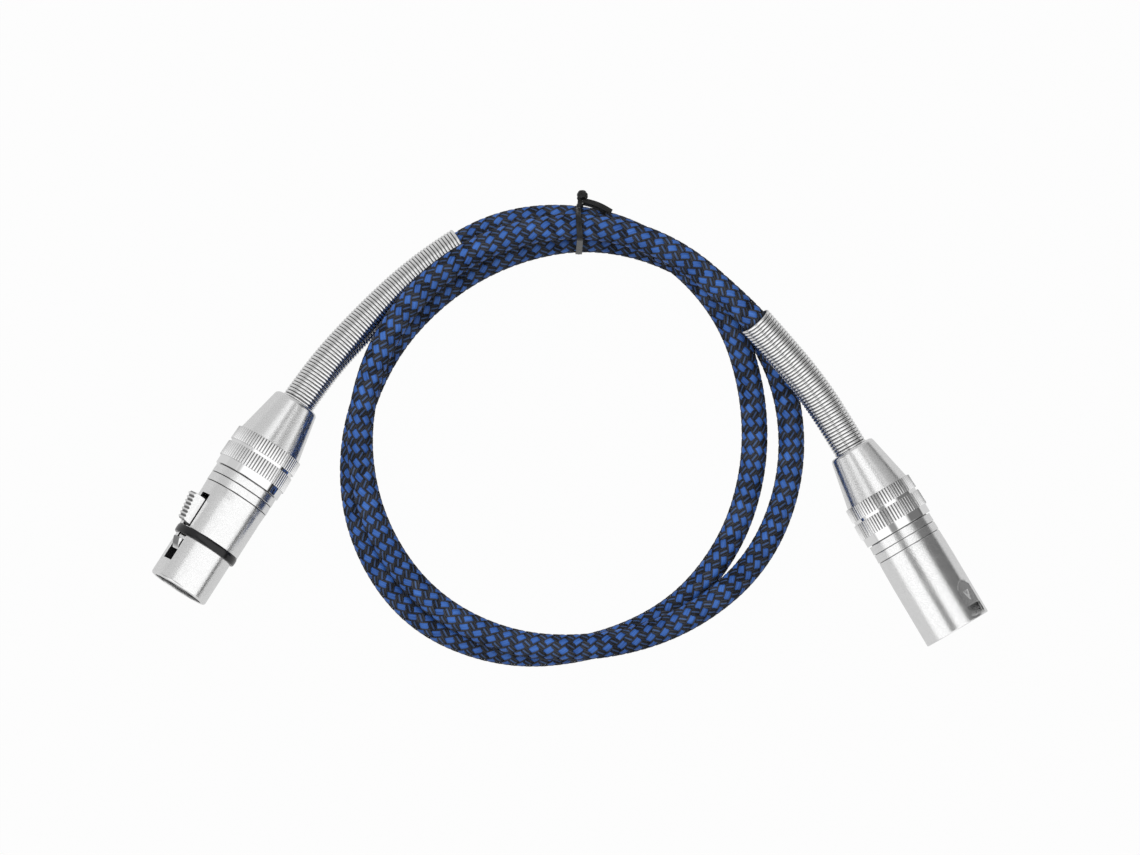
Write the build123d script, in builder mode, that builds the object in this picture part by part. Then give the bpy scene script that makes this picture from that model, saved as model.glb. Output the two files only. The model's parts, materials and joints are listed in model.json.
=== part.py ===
"""A one-metre microphone cable with three-pole connectors, wound into a loose coil and tied.

Millimetres, +Z up. The origin is on the surface that the coil lies on, under the middle of
the two connectors and their springs. Each connector is drawn along its own axis: a station is
the distance along that axis from the rear edge of its bushing, and the "up" direction of a
connector points at its latch. The cable is two and a bit turns round the coil's middle.
"""

import os
from math import atan2, cos, degrees, pi, radians, sin, tan

from build123d import *

os.makedirs("parts", exist_ok=True)

# ---------------------------------------------------------------- cable
cable_diameter = 6.5
cable_radius = cable_diameter / 2
conductor_radius = 0.65
conductor_ring = 1.35  # the three conductors' distance from the cable's middle
core_straight = 1.6
core_bend = 1.6

# ---------------------------------------------------------------- tail spring
spring_radius = 4.4
spring_wire = 0.85
spring_flare_radius = 5.3  # the last coil, opened out so that the bushing holds it
spring_flare_length = 1.2

# ---------------------------------------------------------------- bushing, one pattern for both ends
bushing_length = 23.7
cone_rear_radius = 6.0
cone_front_radius = 8.6
cone_length = 13.0
cone_rear_rounding = 0.6
rear_knurl_radius = 9.25
rear_knurl_end = 16.4
groove_radius = 8.9
groove_end = 17.5
front_knurl_radius = 9.48
front_knurl_end = 21.3
band_radius = 9.15
knurl_teeth = 72
knurl_depth = 0.28
rear_hole_radius = 4.7
shoulder_station = 3.0
flare_bore_radius = 5.55
collet_bore_radius = 6.75
thread_start = 15.2
thread_radius = 8.05

# ---------------------------------------------------------------- clearances
pivot_clearance = 0.01
fit_clearance = 0.02
grip_clearance = 0.03
running_clearance = 0.05
seat_clearance = 0.1
loose_clearance = 0.3

# ---------------------------------------------------------------- slip washer and collet
washer_thickness = 0.8
washer_radius = flare_bore_radius - seat_clearance
washer_bore_clearance = 0.15
spring_seat = shoulder_station + washer_thickness + 3 * fit_clearance
flare_bore_end = spring_seat + spring_flare_length + 0.5
collet_start = flare_bore_end + 0.2
collet_wall_clearance = 0.25
collet_flange_length = 2.2
collet_slot_width = 0.9
collet_slots = 4
collet_slot_floor = 1.0

# ---------------------------------------------------------------- shells
shell_bore_radius = 7.2
neck_start = thread_start + loose_clearance
step_lengths = (2.5, 2.4)
step_low_radius = 8.55
step_high_radius = 8.8
step_gap = 0.1
taper_length = 2.8

male_length = 53.0
male_socket_radius = 8.15
male_socket_depth = 15.5
male_socket_start = male_length - male_socket_depth
male_wall = 0.72
male_barrel_radius = male_socket_radius + male_wall
male_front_rounding = 0.25

female_length = 56.2
female_barrel_radius = 8.6
nose_length = 14.3
female_barrel_end = female_length - nose_length
o_ring_width = 2.2
o_ring_thickness = 0.8
nose_radius = 7.95
nose_lip_radius = 6.75
nose_lip_length = 0.6
nose_rounding = 0.6

# the latch window and its recessed panel in the male barrel
window_width = 5.6
window_length = 2.6
window_setback = 1.0  # from the front rim
window_start = male_length - window_setback - window_length
panel_length = 6.7
panel_start = window_start - panel_length
panel_depth = 0.18

# ---------------------------------------------------------------- contacts
contact_ring = 3.8
pin_radius = 1.2
pin_setback = 2.6  # from the front rim
pin_end = male_length - pin_setback
pin_lead = 0.9  # the earth pin stands this much further out
pin_tip_rounding = 0.85
pin_shank_radius = 1.45
pin_collar_radius = 1.85
pin_collar_length = 1.2
socket_radius = 1.75
socket_bore = 1.24
socket_depth = 12.0
socket_front_gap = 0.5
cup_radius = 1.45
cup_bore = 0.85
cup_depth = 3.0
cup_length = 5.0
insert_radius = shell_bore_radius - seat_clearance
male_insert_length = 7.2
male_insert_step = 0.7  # how far it stands out of its seat
male_insert_end = male_socket_start + male_insert_step
male_insert_start = male_insert_end - male_insert_length
female_insert_length = 20.58
female_insert_front = female_length - nose_lip_length - fit_clearance
female_insert_start = female_insert_front - female_insert_length
guide_hole_radius = 1.5
cable_end_station = 15.9

# ---------------------------------------------------------------- latch
latch_width = 3.2
latch_slot_width = 3.6
latch_slot_length = 19.1
latch_slot_setback = 4.8  # from the front rim
latch_slot_end = female_length - latch_slot_setback
latch_slot_start = latch_slot_end - latch_slot_length
pivot_inset = 2.7  # from the slot's rear end, as are the next insets
pivot_station = latch_slot_start + pivot_inset
pivot_height = 7.2
pivot_pin_radius = 0.5
pivot_pin_length = 7.0
latch_arm_low = 6.45
latch_arm_high = 7.45
latch_pad_inset = 1.5
latch_pad_length = 7.5
latch_pad_start = latch_slot_start + latch_pad_inset
latch_pad_end = latch_pad_start + latch_pad_length
latch_pad_rear_height = 12.3
latch_pad_front_height = 10.9
latch_pad_ridges = 7
latch_ridge_height = 0.45
hook_inset = 13.0
hook_length = 3.0
hook_rear = latch_slot_start + hook_inset
hook_front = hook_rear + hook_length
hook_land = 0.5
hook_height = 8.8
hook_nose_drop = 0.2
latch_pocket_floor = 4.9
latch_pocket_width = 4.2
leaf_thickness = 0.25
leaf_inset = 6.2
leaf_start = latch_slot_start + leaf_inset
leaf_length = 6.0
leaf_foot = 1.8
leaf_tip = 0.8
leaf_margin = 0.5

# ---------------------------------------------------------------- twist tie
tie_angle = 88.0
tie_width = 1.7
tie_thickness = 0.45
tie_clearance = 0.2
tie_twist_radius = 1.15
tie_twist_length = 4.0
tie_twist_rise = 4.0  # the twist stands this much above the outer cable's middle
tie_knot_radius = 1.45
tie_tail_length = 7.0
tie_tail_width = 2.1
tie_tail_heading = -20.0

# ---------------------------------------------------------------- where the connectors lie
female_plan = (-69.3, 2.9)  # rear edge of the bushing
female_heading = -122.2
female_pitch = 4.0  # nose up
female_latch_turn = 52.0  # latch, from straight up towards the coil's outside

male_plan = (71.4, -9.0)
male_heading = -59.4
male_pitch = -degrees(
    atan2(front_knurl_radius - male_barrel_radius, male_length - front_knurl_end)
)  # lies on its front knurl and its front rim
male_latch_turn = 47.5


class Connector:
    """Where a connector lies: the point at a station of its axis, and its planes."""

    def __init__(self, plan, heading, pitch, latch_turn, lean, rims):
        flat = Vector(cos(radians(heading)), sin(radians(heading)), 0)
        self.axis = flat * cos(radians(pitch)) + Vector(0, 0, sin(radians(pitch)))
        top = flat * -sin(radians(pitch)) + Vector(0, 0, cos(radians(pitch)))
        across = top.cross(self.axis) * lean
        self.up = top * cos(radians(latch_turn)) + across * sin(radians(latch_turn))
        self.side = self.up.cross(self.axis)
        rest = max(r * cos(radians(pitch)) - s * sin(radians(pitch)) for s, r in rims)
        self.rear = Vector(plan[0], plan[1], rest)

    def at(self, station, side=0.0, up=0.0):
        return self.rear + self.axis * station + self.side * side + self.up * up

    def lengthwise(self, side=0.0):
        """Local X is up, local Y is the station."""
        return Plane(self.at(0, side=side), x_dir=self.up, z_dir=self.side)

    def across(self, station):
        """Local X is the side, local Y is up, local Z is along the axis."""
        return Plane(self.at(station), x_dir=self.side, z_dir=self.axis)

    def from_above(self, height):
        """Looking in at the latch: local X is the station, local Y is the side."""
        return Plane(self.at(0, up=height), x_dir=self.axis, z_dir=self.up)

    def line(self):
        return Axis(self.rear, self.axis)


knurl_rims = [
    (cone_length, rear_knurl_radius),
    (groove_end, front_knurl_radius),
    (front_knurl_end, front_knurl_radius),
]
female = Connector(
    female_plan, female_heading, female_pitch, female_latch_turn, -1, knurl_rims
)
male = Connector(
    male_plan,
    male_heading,
    male_pitch,
    male_latch_turn,
    1,
    knurl_rims + [(male_length, male_barrel_radius)],
)


def keep(part, name):
    """Writes a finished piece under its own name."""
    part.label = name
    export_step(part, f"parts/{name}.step")
    return part


def turned(connector, outline):
    """A turned ring or sleeve from its half outline of (radius, station) points."""
    with BuildPart() as piece:
        with BuildSketch(connector.lengthwise()):
            with BuildLine():
                Polyline(*outline, close=True)
            make_face()
        revolve(axis=connector.line())
    return piece.part


# ================================================================ pieces that both ends have
def knurled_ring(connector, start, end, radius, bore):
    """A ring with straight V teeth along the axis."""
    half_tooth = pi / knurl_teeth
    teeth = []
    for tooth in range(knurl_teeth):
        angle = 2 * half_tooth * tooth
        for reach, turn in ((radius, -0.45), (radius, 0.45), (radius - knurl_depth, 1.0)):
            swing = angle + turn * half_tooth
            teeth.append((reach * cos(swing), reach * sin(swing)))
    with BuildPart() as ring:
        with BuildSketch(connector.across(start)):
            with BuildLine():
                Polyline(*teeth, close=True)
            make_face()
            Circle(bore, mode=Mode.SUBTRACT)
        extrude(amount=end - start)
    return ring.part


def bushing(connector):
    """The tapered nut at the rear: cone, two knurled rings, a plain band, bored right through."""
    outline = [
        (rear_hole_radius, 0),
        (cone_rear_radius, 0),
        (cone_front_radius, cone_length),
        (groove_radius, cone_length),
        (groove_radius, front_knurl_end),
        (band_radius, front_knurl_end),
        (band_radius, bushing_length),
        (thread_radius, bushing_length),
        (thread_radius, thread_start),
        (collet_bore_radius, thread_start - loose_clearance),
        (collet_bore_radius, cone_length),
        (flare_bore_radius, flare_bore_end),
        (flare_bore_radius, shoulder_station),
        (rear_hole_radius, shoulder_station),
    ]
    inner_radius = groove_radius - knurl_depth
    with BuildPart() as nut:
        add(turned(connector, outline))
        rear_rims = nut.edges().filter_by(GeomType.CIRCLE).sort_by(connector.line())[:2]
        fillet(rear_rims.sort_by(SortBy.RADIUS)[-1:], cone_rear_rounding)
        add(knurled_ring(connector, cone_length, rear_knurl_end, rear_knurl_radius, inner_radius))
        add(knurled_ring(connector, groove_end, front_knurl_end, front_knurl_radius, inner_radius))
    return nut.part


def slip_washer(connector):
    """Lets the bushing turn without winding up the spring."""
    start = shoulder_station + fit_clearance
    bore = spring_radius + washer_bore_clearance
    return turned(
        connector,
        [
            (bore, start),
            (washer_radius, start),
            (washer_radius, start + washer_thickness),
            (bore, start + washer_thickness),
        ],
    )


def collet(connector):
    """The slit plastic cone that the bushing presses onto the cable's jacket."""
    grip = cable_radius + grip_clearance
    slope = (collet_bore_radius - flare_bore_radius) / (cone_length - flare_bore_end)
    fat = collet_bore_radius - collet_wall_clearance
    thin = fat - slope * (cone_length - collet_start)
    flange_start = neck_start + seat_clearance
    with BuildPart() as chuck:
        add(
            turned(
                connector,
                [
                    (grip, collet_start),
                    (thin, collet_start),
                    (fat, cone_length),
                    (fat, flange_start),
                    (insert_radius, flange_start),
                    (insert_radius, flange_start + collet_flange_length),
                    (grip, flange_start + collet_flange_length),
                ],
            )
        )
        slit_depth = cone_length - collet_start - collet_slot_floor
        with BuildSketch(connector.across(collet_start)):
            with PolarLocations((cable_radius + fat) / 2, collet_slots, start_angle=45):
                Rectangle(fat, collet_slot_width)
        extrude(amount=slit_depth, mode=Mode.SUBTRACT)
    return chuck.part


def conductor(connector, start_angle, target, end_station):
    """One insulated core from the end of the jacket to its solder cup."""
    begin = (conductor_ring * cos(start_angle), conductor_ring * sin(start_angle))
    entry = end_station - cup_depth - core_straight
    path = [
        connector.at(cable_end_station, *begin),
        connector.at(cable_end_station + core_straight, *begin),
        connector.at(entry, *target),
        connector.at(end_station, *target),
    ]
    with BuildPart() as core:
        with BuildLine():
            FilletPolyline(*path, radius=core_bend)
        with BuildSketch(connector.across(cable_end_station)):
            with Locations(begin):
                Circle(conductor_radius)
        sweep()
    return core.part


# the contacts' places, (side, up), in the order of their numbers: the two ends mirror each other
female_places = [(contact_ring, 0), (-contact_ring, 0), (0, -contact_ring)]
male_places = [(-side, up) for side, up in female_places]


def conductors(connector, places, cup_rear):
    """The cable's two cores and its screen, each to its own contact."""
    cores = []
    for side, up in places:
        floor = cup_rear + cup_depth - seat_clearance
        cores.append(conductor(connector, atan2(up, side), (side, up), floor))
    return Compound(children=cores)


def solder_cup(connector, place, rear, front, radius):
    """The rear of a contact: a stem with a cup for its core."""
    with BuildPart() as stem:
        with BuildSketch(connector.across(rear)):
            with Locations(place):
                Circle(radius)
        extrude(amount=front - rear)
        with BuildSketch(connector.across(rear)):
            with Locations(place):
                Circle(cup_bore)
        extrude(amount=cup_depth, mode=Mode.SUBTRACT)
    return stem.part


def shell_rear(barrel_radius):
    """The outline that both shells share: threaded neck, two saw-tooth steps, a taper."""
    first = bushing_length + step_lengths[0]
    second = first + step_lengths[1]
    return [
        (shell_bore_radius, neck_start),
        (thread_radius - running_clearance, neck_start),
        (thread_radius - running_clearance, bushing_length + step_gap),
        (step_low_radius, bushing_length + step_gap),
        (step_high_radius, first),
        (step_low_radius, first),
        (step_high_radius, second),
        (step_low_radius, second),
        (barrel_radius, second + taper_length),
    ]


# ================================================================ female connector
def female_shell():
    """The latch connector's one-piece housing, slotted for the latch."""
    outline = shell_rear(female_barrel_radius) + [
        (female_barrel_radius, female_barrel_end),
        (nose_radius, female_barrel_end),
        (nose_radius, female_length),
        (nose_lip_radius, female_length),
        (nose_lip_radius, female_length - nose_lip_length),
        (shell_bore_radius, female_length - nose_lip_length),
    ]
    slot_length = latch_slot_end - latch_slot_start
    slot_middle = (latch_slot_end + latch_slot_start) / 2
    with BuildPart() as shell:
        add(turned(female, outline))
        rim = shell.edges().filter_by(GeomType.CIRCLE).sort_by(female.line())[-2:]
        fillet(rim.sort_by(SortBy.RADIUS)[-1:], nose_rounding)
        with BuildSketch(female.from_above(latch_pocket_floor)):
            with Locations((slot_middle, 0)):
                Rectangle(slot_length, latch_slot_width)
        extrude(amount=female_barrel_radius, mode=Mode.SUBTRACT)
        pin_reach = (pivot_pin_length + seat_clearance) / 2
        with BuildSketch(female.lengthwise(side=-pin_reach)):
            with Locations((pivot_height, pivot_station)):
                Circle(pivot_pin_radius + pivot_clearance)
        extrude(amount=2 * pin_reach, mode=Mode.SUBTRACT)
    return shell.part


def o_ring():
    """The black rubber ring in front of the barrel."""
    start = female_barrel_end + fit_clearance
    inner = nose_radius + fit_clearance
    with BuildPart() as ring:
        add(
            turned(
                female,
                [
                    (inner, start),
                    (inner + o_ring_thickness, start),
                    (inner + o_ring_thickness, start + o_ring_width),
                    (inner, start + o_ring_width),
                ],
            )
        )
        outer = ring.edges().filter_by(GeomType.CIRCLE).sort_by(SortBy.RADIUS)[-2:]
        fillet(outer, o_ring_thickness / 2)
    return ring.part


def female_insert():
    """The moulded block that carries the three sockets, with a pocket under the latch."""
    front = female_insert_front
    with BuildPart() as block:
        with BuildSketch(female.across(female_insert_start)):
            Circle(insert_radius)
        extrude(amount=front - female_insert_start)
        with BuildSketch(female.across(female_insert_start)):
            with Locations(*female_places):
                Circle(socket_radius + fit_clearance)
        extrude(amount=front - socket_front_gap - female_insert_start, mode=Mode.SUBTRACT)
        with BuildSketch(female.across(female_insert_start)):
            with Locations(*female_places):
                Circle(guide_hole_radius)
        extrude(amount=front - female_insert_start, mode=Mode.SUBTRACT)
        pocket_end = latch_slot_end + loose_clearance
        with BuildSketch(female.from_above(latch_pocket_floor)):
            with Locations(((female_insert_start + pocket_end) / 2, 0)):
                Rectangle(pocket_end - female_insert_start, latch_pocket_width)
        extrude(amount=insert_radius, mode=Mode.SUBTRACT)
    return block.part


female_cup_rear = female_insert_start - cup_length
socket_rear = female_insert_start + fit_clearance


def socket(place):
    """A turned socket: a sleeve for the mating pin and a solder cup."""
    mouth = female_insert_front - socket_front_gap - fit_clearance
    with BuildPart() as contact:
        add(solder_cup(female, place, female_cup_rear, socket_rear, cup_radius))
        with BuildSketch(female.across(socket_rear)):
            with Locations(place):
                Circle(socket_radius)
        extrude(amount=mouth - socket_rear)
        with BuildSketch(female.across(mouth)):
            with Locations(place):
                Circle(socket_bore)
        extrude(amount=-socket_depth, mode=Mode.SUBTRACT)
    return contact.part


def latch_lever():
    """Pivots low under its ridged thumb pad; thin arm under the O-ring, hook at the front."""
    pitch = (latch_pad_end - latch_pad_start) / (latch_pad_ridges + 0.5)
    fall = (latch_pad_front_height - latch_pad_rear_height) / latch_pad_ridges
    crests = []
    for ridge in range(latch_pad_ridges):
        crest = latch_pad_rear_height + fall * ridge
        foot = latch_pad_start + ridge * pitch
        crests += [
            (crest, foot + 0.1 * pitch),
            (crest, foot + 0.5 * pitch),
            (crest - latch_ridge_height, foot + 0.7 * pitch),
            (crest - latch_ridge_height, foot + 0.9 * pitch),
        ]
    outline = [
        (latch_arm_low, latch_pad_start),
        (latch_pad_rear_height - latch_ridge_height, latch_pad_start),
        *crests,
        (latch_pad_front_height - 3 * latch_ridge_height, latch_pad_end),
        (latch_arm_high, latch_pad_end),
        (latch_arm_high, hook_rear),
        (hook_height, hook_rear),
        (hook_height, hook_rear + hook_land),
        (latch_arm_high - hook_nose_drop, hook_front),
        (latch_arm_low, hook_front),
    ]
    with BuildPart() as lever:
        with BuildSketch(female.lengthwise(side=-latch_width / 2)):
            with BuildLine():
                Polyline(*outline, close=True)
            make_face()
            with Locations((pivot_height, pivot_station)):
                Circle(pivot_pin_radius + running_clearance, mode=Mode.SUBTRACT)
        extrude(amount=latch_width)
    return lever.part


def latch_pin():
    with BuildPart() as pin:
        with BuildSketch(female.lengthwise(side=-pivot_pin_length / 2)):
            with Locations((pivot_height, pivot_station)):
                Circle(pivot_pin_radius)
        extrude(amount=pivot_pin_length)
    return pin.part


def latch_leaf():
    """The leaf spring that holds the latch up."""
    low = latch_pocket_floor + fit_clearance
    high = latch_arm_low - fit_clearance - leaf_thickness
    end = leaf_start + leaf_length
    outline = [
        (low, leaf_start),
        (low, leaf_start + leaf_foot),
        (high, end - leaf_tip),
        (high, end),
        (high + leaf_thickness, end),
        (high + leaf_thickness, end - leaf_tip - leaf_thickness),
        (low + leaf_thickness, leaf_start + leaf_foot - leaf_thickness),
        (low + leaf_thickness, leaf_start),
    ]
    width = latch_width - 2 * leaf_margin
    with BuildPart() as leaf:
        with BuildSketch(female.lengthwise(side=-width / 2)):
            with BuildLine():
                Polyline(*outline, close=True)
            make_face()
        extrude(amount=width)
    return leaf.part


keep(female_shell(), "female_shell")
keep(o_ring(), "female_o_ring")
keep(female_insert(), "female_insert")
for number, place in enumerate(female_places, start=1):
    keep(socket(place), f"female_socket_{number}")
keep(latch_lever(), "latch_lever")
keep(latch_pin(), "latch_pivot_pin")
keep(latch_leaf(), "latch_leaf_spring")
keep(collet(female), "female_collet")
keep(slip_washer(female), "female_slip_washer")
keep(bushing(female), "female_bushing")
keep(conductors(female, female_places, female_cup_rear), "female_conductors")


# ================================================================ male connector
def male_shell():
    """The pin connector's one-piece housing, with the window that the latch hooks into."""
    outline = shell_rear(male_barrel_radius) + [
        (male_barrel_radius, male_length),
        (male_socket_radius, male_length),
        (male_socket_radius, male_socket_start),
        (shell_bore_radius, male_socket_start),
    ]
    with BuildPart() as shell:
        add(turned(male, outline))
        rim = shell.edges().filter_by(GeomType.CIRCLE).sort_by(male.line())[-2:]
        fillet(rim, male_front_rounding)
        panel_end = window_start + window_length
        panel_floor = male_barrel_radius - panel_depth
        with BuildSketch(male.across(panel_start)):
            Circle(male_barrel_radius + loose_clearance)
            Circle(panel_floor, mode=Mode.SUBTRACT)
            with Locations((0, male_barrel_radius)):
                Rectangle(window_width, male_barrel_radius, mode=Mode.INTERSECT)
        extrude(amount=panel_end - panel_start, mode=Mode.SUBTRACT)
        with BuildSketch(male.from_above(male_socket_radius / 2)):
            with Locations((window_start + window_length / 2, 0)):
                Rectangle(window_length, window_width)
        extrude(amount=male_barrel_radius, mode=Mode.SUBTRACT)
    return shell.part


def male_insert():
    """The moulded disc that carries the three pins."""
    with BuildPart() as block:
        with BuildSketch(male.across(male_insert_start)):
            Circle(insert_radius)
            with Locations(*male_places):
                Circle(pin_shank_radius + fit_clearance, mode=Mode.SUBTRACT)
        extrude(amount=male_insert_end - male_insert_start)
        with BuildSketch(male.across(male_insert_start)):
            with Locations(*male_places):
                Circle(pin_collar_radius + fit_clearance)
        extrude(amount=pin_collar_length + fit_clearance, mode=Mode.SUBTRACT)
    return block.part


male_cup_rear = male_insert_start - cup_length


def pin(place, end):
    """A turned pin: solder cup, collar and thicker shank in the insert, rounded tip."""
    with BuildPart() as contact:
        add(solder_cup(male, place, male_cup_rear, male_insert_start, cup_radius))
        with BuildSketch(male.across(male_insert_start)):
            with Locations(place):
                Circle(pin_collar_radius)
        extrude(amount=pin_collar_length)
        with BuildSketch(male.across(male_insert_start)):
            with Locations(place):
                Circle(pin_shank_radius)
        extrude(amount=male_insert_length)
        with BuildSketch(male.across(male_insert_end)):
            with Locations(place):
                Circle(pin_radius)
        extrude(amount=end - male_insert_end)
        tip = contact.edges().filter_by(GeomType.CIRCLE).sort_by(male.line())[-1:]
        fillet(tip, pin_tip_rounding)
    return contact.part


keep(male_shell(), "male_shell")
keep(male_insert(), "male_insert")
for number, place in enumerate(male_places, start=1):
    keep(pin(place, pin_end + (pin_lead if number == 1 else 0)), f"male_pin_{number}")
keep(collet(male), "male_collet")
keep(slip_washer(male), "male_slip_washer")
keep(bushing(male), "male_bushing")
keep(conductors(male, male_places, male_cup_rear), "male_conductors")

# ================================================================ cable
# The coil's middle, and the cable's distance from it and height above the surface at each
# station, going clockwise from the female end; the stations are evenly turned.
coil_middle = (0.6, -4.7)
coil_first_angle = 109.0
stations_per_turn = 15
coil_stations = [
    (57.5, 6.3), (55.5, 9.2), (52.5, 10.7), (50.0, 8.8), (47.5, 4.7),
    (47.5, 3.3), (49.5, 3.5), (52.5, 3.3), (55.0, 3.3), (59.5, 3.3),
    (62.5, 3.3), (60.5, 3.3), (56.5, 3.3), (52.5, 3.6), (50.0, 3.4),
    (49.5, 4.0), (51.0, 4.0), (52.5, 3.4), (54.5, 3.3), (56.5, 3.3),
    (57.5, 3.4), (58.0, 5.0), (56.5, 8.8), (55.5, 10.1), (56.5, 9.4),
    (57.0, 7.6), (56.0, 8.5), (55.0, 10.1), (54.0, 11.5), (53.5, 13.0),
    (53.0, 13.5), (53.0, 15.7), (53.0, 17.7), (53.0, 17.6),
]  # fmt: skip
station_turn = 360 / stations_per_turn
coil_route = []
for step, (reach, height) in enumerate(coil_stations):
    angle = radians(coil_first_angle - station_turn * step)
    coil_route.append(
        Vector(
            coil_middle[0] + reach * cos(angle), coil_middle[1] + reach * sin(angle), height
        )
    )

axis_run = 14.0  # how far into a connector the first point of the route lies
exit_run = 6.0
female_run = [
    female.at(axis_run),
    female.at(-exit_run),
    Vector(-52.5, 23.5, 6.7),
    Vector(-37.5, 37.5, 6.1),
]
male_run = [
    Vector(51.0, 18.8, 14.4),
    Vector(61.0, 7.3, 11.7),
    male.at(-exit_run),
    male.at(axis_run),
]
route = female_run + coil_route + male_run


def turn_radius(before, corner, after):
    """The largest arc that leaves a tenth of the shorter run straight."""
    turn = (corner - before).get_angle(after - corner)
    shorter = min((corner - before).length, (after - corner).length)
    return 0.45 * shorter / tan(radians(turn / 2))


route_radii = [
    turn_radius(route[i - 1], route[i], route[i + 1]) for i in range(1, len(route) - 1)
]
print("cable arcs, mm:", " ".join(f"{radius:.0f}" for radius in route_radii))


def middle_of_run(index):
    return (route[index] + route[index + 1]) * 0.5


def stretch(first, last, start, end, outer, inner=0.0):
    """A round tube along the corners first to last of the route, from start to end."""
    path = [start, *route[first : last + 1], end]
    heading = (path[1] - path[0]).normalized()
    with BuildPart() as tube:
        with BuildLine() as line:
            FilletPolyline(*path, radius=route_radii[first - 1 : last])
        with BuildSketch(Plane(start, z_dir=heading)):
            Circle(outer)
            if inner:
                Circle(inner, mode=Mode.SUBTRACT)
        sweep()
    length = sum(edge.length for edge in line.edges())
    section = pi * (outer**2 - inner**2)
    share = tube.part.volume / section / length
    print(f"length {length:.1f} mm, volume over section times length {share:.4f}")
    return tube.part


coil_start = len(female_run)
turn_one_end = coil_start + stations_per_turn - 1
turn_two_end = turn_one_end + stations_per_turn
last_corner = len(route) - 2
cable_cuts = {
    "cable_female_end": (1, coil_start - 1),
    "cable_first_turn": (coil_start, turn_one_end),
    "cable_second_turn": (turn_one_end + 1, turn_two_end),
    "cable_male_end": (turn_two_end + 1, last_corner),
}
for name, (first, last) in cable_cuts.items():
    start = female.at(cable_end_station) if first == 1 else middle_of_run(first - 1)
    end = male.at(cable_end_station) if last == last_corner else middle_of_run(last)
    keep(stretch(first, last, start, end, cable_radius), name)


# ================================================================ tail springs
def tail_spring(connector, first, last, far_end):
    """The close-wound spring as a sleeve, with its flared last coil held in the bushing."""
    seat = spring_seat
    bore = spring_radius - spring_wire
    start, end = connector.at(seat), far_end
    if last == last_corner:
        start, end = end, start
    with BuildPart() as spring:
        add(stretch(first, last, start, end, spring_radius, bore))
        add(
            turned(
                connector,
                [
                    (bore, seat),
                    (spring_flare_radius, seat),
                    (spring_flare_radius, seat + spring_flare_length),
                    (bore, seat + spring_flare_length),
                ],
            )
        )
    return spring.part


male_spring_corner = last_corner - len(male_run) + 1
keep(
    tail_spring(female, 1, coil_start - 1, middle_of_run(coil_start - 1)),
    "female_tail_spring",
)
keep(
    tail_spring(male, male_spring_corner, last_corner, middle_of_run(male_spring_corner - 1)),
    "male_tail_spring",
)


# ================================================================ twist tie
tie_side = Vector(cos(radians(tie_angle)), sin(radians(tie_angle)), 0)
tie_plane = Plane(
    Vector(*coil_middle, 0), x_dir=tie_side, z_dir=tie_side.cross(Vector(0, 0, 1))
)


def cable_at(angle, lap):
    """Where the cable crosses the tie's plane: distance from the coil's middle, and height."""
    turned_by = (coil_first_angle - angle) / station_turn + stations_per_turn * lap
    corner = coil_start + round(turned_by)
    along = turned_by - round(turned_by) + 0.5
    point = (
        middle_of_run(corner - 1) * (1 - along) ** 2
        + route[corner] * 2 * along * (1 - along)
        + middle_of_run(corner) * along**2
    )
    local = tie_plane.to_local_coords(point)
    return local.X, local.Y


tied = [cable_at(tie_angle, lap) for lap in range(3)]


def twist_tie():
    """A band round the three cables, twisted up at the outside, with its tail laid over."""
    inside = cable_radius + tie_clearance
    (low_reach, low_height), _, (top_reach, top_height) = tied
    lean = atan2(low_reach - top_reach, top_height - low_height)
    flank_reach = low_reach + inside / cos(lean) - tie_twist_rise * tan(lean)
    root = tie_plane.from_local_coords(Vector(flank_reach, low_height + tie_twist_rise, 0))
    with BuildPart() as tie:
        with BuildSketch(tie_plane.offset(-tie_width / 2)):
            with Locations(*tied):
                Circle(inside + tie_thickness)
            make_hull()
        extrude(amount=tie_width)
        with BuildSketch(tie_plane.offset(-tie_width / 2)):
            with Locations(*tied):
                Circle(inside)
            make_hull()
        extrude(amount=tie_width, mode=Mode.SUBTRACT)
        with BuildSketch(Plane(root, z_dir=tie_side)):
            Circle(tie_twist_radius)
        extrude(amount=tie_twist_length)
        knot = root + tie_side * tie_twist_length
        with Locations(knot):
            Sphere(tie_knot_radius)
        heading = radians(tie_tail_heading)
        along = Vector(cos(heading), sin(heading), 0)
        tail = root + tie_side * (tie_twist_length / 2) + Vector(0, 0, tie_twist_radius / 2)
        with BuildSketch(Plane(tail, x_dir=(0, 0, 1), z_dir=along)):
            Rectangle(tie_thickness, tie_tail_width)
        extrude(amount=tie_tail_length)
    return tie.part


keep(twist_tie(), "twist_tie")
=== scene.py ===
"""The look of a tied coil of microphone cable: braided sleeve, spring strain reliefs, plated
metal connectors and a twist tie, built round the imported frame. Metres, +Z up."""

import json
from math import asin, atan2, copysign, cos, dist, hypot, pi, radians, sin, sqrt

import bmesh
import bpy
from mathutils import Matrix, Vector
from mathutils.geometry import convex_hull_2d


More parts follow.
